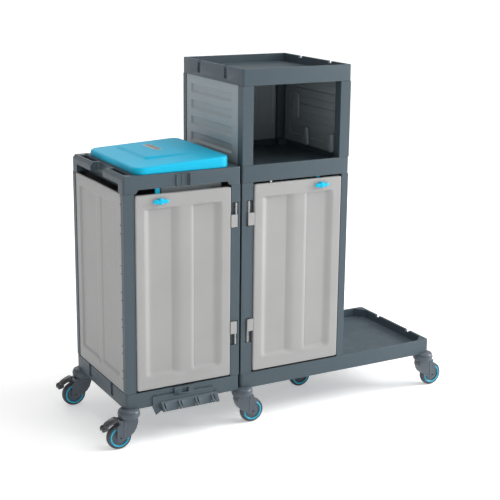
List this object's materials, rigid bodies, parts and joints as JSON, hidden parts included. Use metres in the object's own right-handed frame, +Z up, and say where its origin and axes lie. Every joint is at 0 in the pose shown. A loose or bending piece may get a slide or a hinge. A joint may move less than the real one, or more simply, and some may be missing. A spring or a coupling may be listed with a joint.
{
  "type": "housekeeping cart",
  "caption": "Housekeeping cart with hinged cabinet doors, lidded bag module, open louvred hood, low end tray, tool rack and swivel castors.",
  "frame": {"origin": "on the floor, under the middle of the cart's bounding box", "axes": "+X along the cart towards the low tray, +Y from the doors to the back, +Z up"},
  "size_m": [1.622, 0.592, 1.447],
  "materials": {
    "slate_plastic": "moulded slate blue-grey, fine satin texture",
    "grey_plastic": "moulded light grey, smooth satin",
    "louvre_plastic": "moulded mid grey, smooth satin",
    "cyan_plastic": "bright cyan, semi-gloss",
    "castor_plastic": "dark slate nylon, satin",
    "pedal_plastic": "near black, glossy",
    "steel_pin": "plain steel rod",
    "tyre": "grey-black rubber tread with a dark hub"
  },
  "bodies": {
    "cart": {"left_base": "slate_plastic", "right_base": "slate_plastic", "left_top_frame": "slate_plastic", "lid_pin": "steel_pin", "bag_ring": "slate_plastic", "mid_frame": "slate_plastic", "hood_tray": "slate_plastic", "left_end_panel": "grey_plastic", "divider_panel": "grey_plastic", "right_end_panel": "grey_plastic", "left_back_panel": "grey_plastic", "right_back_panel": "grey_plastic", "hood_left_panel": "louvre_plastic", "hood_right_panel": "louvre_plastic", "hood_back_panel": "louvre_plastic", "tool_rack": "slate_plastic", "band_clip": "slate_plastic", "mid_bracket": "castor_plastic", "left_post_outer_front": "slate_plastic", "left_post_outer_back": "slate_plastic", "left_post_inner_front": "slate_plastic", "left_post_inner_back": "slate_plastic", "right_post_inner_front": "slate_plastic", "right_post_inner_back": "slate_plastic", "right_post_outer_front": "slate_plastic", "right_post_outer_back": "slate_plastic", "hood_post_left_front": "slate_plastic", "hood_post_left_back": "slate_plastic", "hood_post_right_front": "slate_plastic", "hood_post_right_back": "slate_plastic", "housing_left_front": "castor_plastic", "housing_left_back": "castor_plastic", "housing_middle_front": "castor_plastic", "housing_middle_back": "castor_plastic", "housing_right_front": "castor_plastic", "housing_right_back": "castor_plastic"},
    "left_door": {"left_door": "grey_plastic", "left_hinge_top": "grey_plastic", "left_hinge_bottom": "grey_plastic"},
    "right_door": {"right_door": "grey_plastic", "right_hinge_top": "grey_plastic", "right_hinge_bottom": "grey_plastic"},
    "left_latch": {"left_latch": "cyan_plastic"},
    "right_latch": {"right_latch": "cyan_plastic"},
    "lid": {"lid": "cyan_plastic"},
    "swivel_left_front": {"fork_left_front": "castor_plastic"},
    "wheel_left_front": {"wheel_left_front": "tyre"},
    "pedal_left_front": {"pedal_left_front": "pedal_plastic"},
    "swivel_left_back": {"fork_left_back": "castor_plastic"},
    "wheel_left_back": {"wheel_left_back": "tyre"},
    "pedal_left_back": {"pedal_left_back": "pedal_plastic"},
    "swivel_middle_front": {"fork_middle_front": "castor_plastic"},
    "wheel_middle_front": {"wheel_middle_front": "tyre"},
    "swivel_middle_back": {"fork_middle_back": "castor_plastic"},
    "wheel_middle_back": {"wheel_middle_back": "tyre"},
    "swivel_right_front": {"fork_right_front": "castor_plastic"},
    "wheel_right_front": {"wheel_right_front": "tyre"},
    "swivel_right_back": {"fork_right_back": "castor_plastic"},
    "wheel_right_back": {"wheel_right_back": "tyre"},
    "mid_wheel": {"mid_wheel": "tyre"}
  },
  "joints": [
    {"name": "left_door_hinge", "type": "hinge", "parent": "cart", "child": "left_door", "pos_m": [-0.237, -0.261, 0.61], "axis": [0, 0, 1], "range_deg": [0, 90]},
    {"name": "right_door_hinge", "type": "hinge", "parent": "cart", "child": "right_door", "pos_m": [-0.181, -0.261, 0.61], "axis": [0, 0, -1], "range_deg": [0, 90]},
    {"name": "left_latch_turn", "type": "hinge", "parent": "left_door", "child": "left_latch", "pos_m": [-0.563, -0.262, 0.971], "axis": [0, 1, 0], "range_deg": [0, 90]},
    {"name": "right_latch_turn", "type": "hinge", "parent": "right_door", "child": "right_latch", "pos_m": [0.145, -0.262, 0.971], "axis": [0, -1, 0], "range_deg": [0, 90]},
    {"name": "lid_hinge", "type": "hinge", "parent": "cart", "child": "lid", "pos_m": [-0.248, 0.003, 1.083], "axis": [0, 1, 0], "range_deg": [0, 90]},
    {"name": "swivel_left_front_turn", "type": "hinge", "parent": "cart", "child": "swivel_left_front", "pos_m": [-0.693, -0.246, 0.122], "axis": [0, 0, 1], "continuous": true},
    {"name": "wheel_left_front_spin", "type": "hinge", "parent": "swivel_left_front", "child": "wheel_left_front", "pos_m": [-0.736, -0.246, 0.051], "axis": [0, 1, 0], "continuous": true},
    {"name": "pedal_left_front_press", "type": "hinge", "parent": "swivel_left_front", "child": "pedal_left_front", "pos_m": [-0.74, -0.246, 0.114], "axis": [0, -1, 0], "range_deg": [0, 8]},
    {"name": "swivel_left_back_turn", "type": "hinge", "parent": "cart", "child": "swivel_left_back", "pos_m": [-0.693, 0.252, 0.122], "axis": [0, 0, 1], "continuous": true},
    {"name": "wheel_left_back_spin", "type": "hinge", "parent": "swivel_left_back", "child": "wheel_left_back", "pos_m": [-0.736, 0.252, 0.051], "axis": [0, 1, 0], "continuous": true},
    {"name": "pedal_left_back_press", "type": "hinge", "parent": "swivel_left_back", "child": "pedal_left_back", "pos_m": [-0.74, 0.252, 0.114], "axis": [0, -1, 0], "range_deg": [0, 8]},
    {"name": "swivel_middle_front_turn", "type": "hinge", "parent": "cart", "child": "swivel_middle_front", "pos_m": [-0.195, -0.246, 0.122], "axis": [0, 0, 1], "continuous": true},
    {"name": "wheel_middle_front_spin", "type": "hinge", "parent": "swivel_middle_front", "child": "wheel_middle_front", "pos_m": [-0.152, -0.246, 0.051], "axis": [0, 1, 0], "continuous": true},
    {"name": "swivel_middle_back_turn", "type": "hinge", "parent": "cart", "child": "swivel_middle_back", "pos_m": [-0.195, 0.252, 0.122], "axis": [0, 0, 1], "continuous": true},
    {"name": "wheel_middle_back_spin", "type": "hinge", "parent": "swivel_middle_back", "child": "wheel_middle_back", "pos_m": [-0.152, 0.252, 0.051], "axis": [0, 1, 0], "continuous": true},
    {"name": "swivel_right_front_turn", "type": "hinge", "parent": "cart", "child": "swivel_right_front", "pos_m": [0.717, -0.246, 0.122], "axis": [0, 0, 1], "continuous": true},
    {"name": "wheel_right_front_spin", "type": "hinge", "parent": "swivel_right_front", "child": "wheel_right_front", "pos_m": [0.76, -0.246, 0.051], "axis": [0, 1, 0], "continuous": true},
    {"name": "swivel_right_back_turn", "type": "hinge", "parent": "cart", "child": "swivel_right_back", "pos_m": [0.717, 0.252, 0.122], "axis": [0, 0, 1], "continuous": true},
    {"name": "wheel_right_back_spin", "type": "hinge", "parent": "swivel_right_back", "child": "wheel_right_back", "pos_m": [0.76, 0.252, 0.051], "axis": [0, 1, 0], "continuous": true},
    {"name": "mid_wheel_spin", "type": "hinge", "parent": "cart", "child": "mid_wheel", "pos_m": [0.228, 0.003, 0.051], "axis": [0, 1, 0], "continuous": true}
  ]
}
